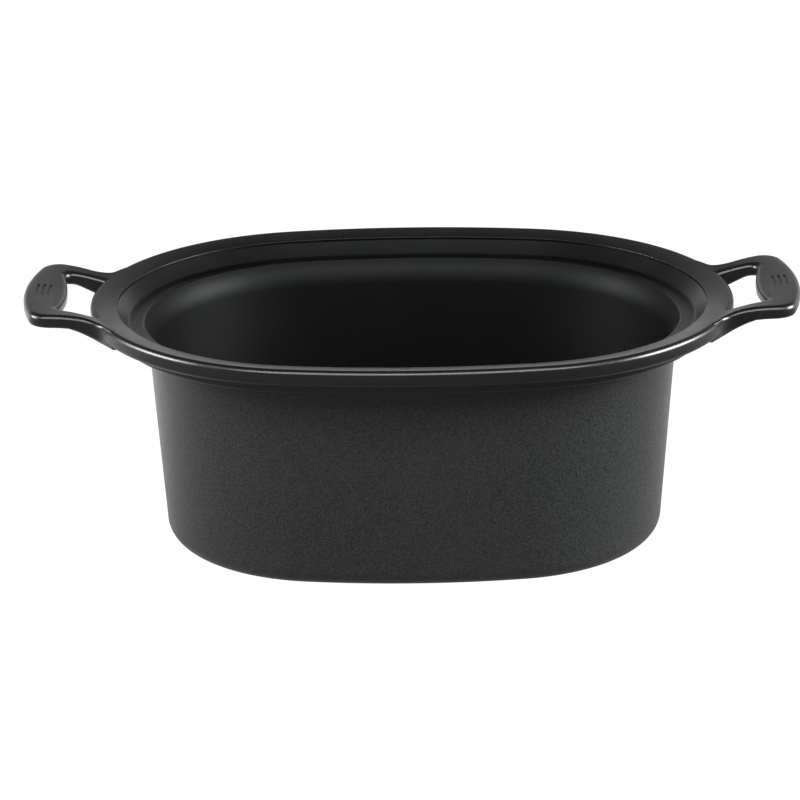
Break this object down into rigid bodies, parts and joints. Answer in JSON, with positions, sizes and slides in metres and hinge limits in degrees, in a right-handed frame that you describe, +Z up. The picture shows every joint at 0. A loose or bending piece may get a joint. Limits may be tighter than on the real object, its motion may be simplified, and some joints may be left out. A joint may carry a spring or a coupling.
{
  "type": "slow cooker cooking pot",
  "caption": "Removable oval cooking pot of a slow cooker: cast aluminium with a wide flange, a lid ledge, a seat collar and a loop handle at each end, coated inside and out.",
  "frame": {"origin": "middle of the pot's footprint, at the underside of the foot ring", "axes": "+X along the length, from handle to handle; +Y to the back; +Z up, out of the pot's mouth"},
  "size_m": [0.441, 0.27, 0.1479],
  "materials": {
    "cast_flange": "smooth satin dark grey coat over cast aluminium",
    "nonstick_lining": "smooth satin black nonstick coat",
    "flecked_coat": "satin charcoal coat with fine metallic flecks and a slight texture"
  },
  "bodies": {
    "root": {"pot_casting": "cast_flange", "nonstick_lining": "nonstick_lining", "outer_coat": "flecked_coat"}
  },
  "joints": []
}
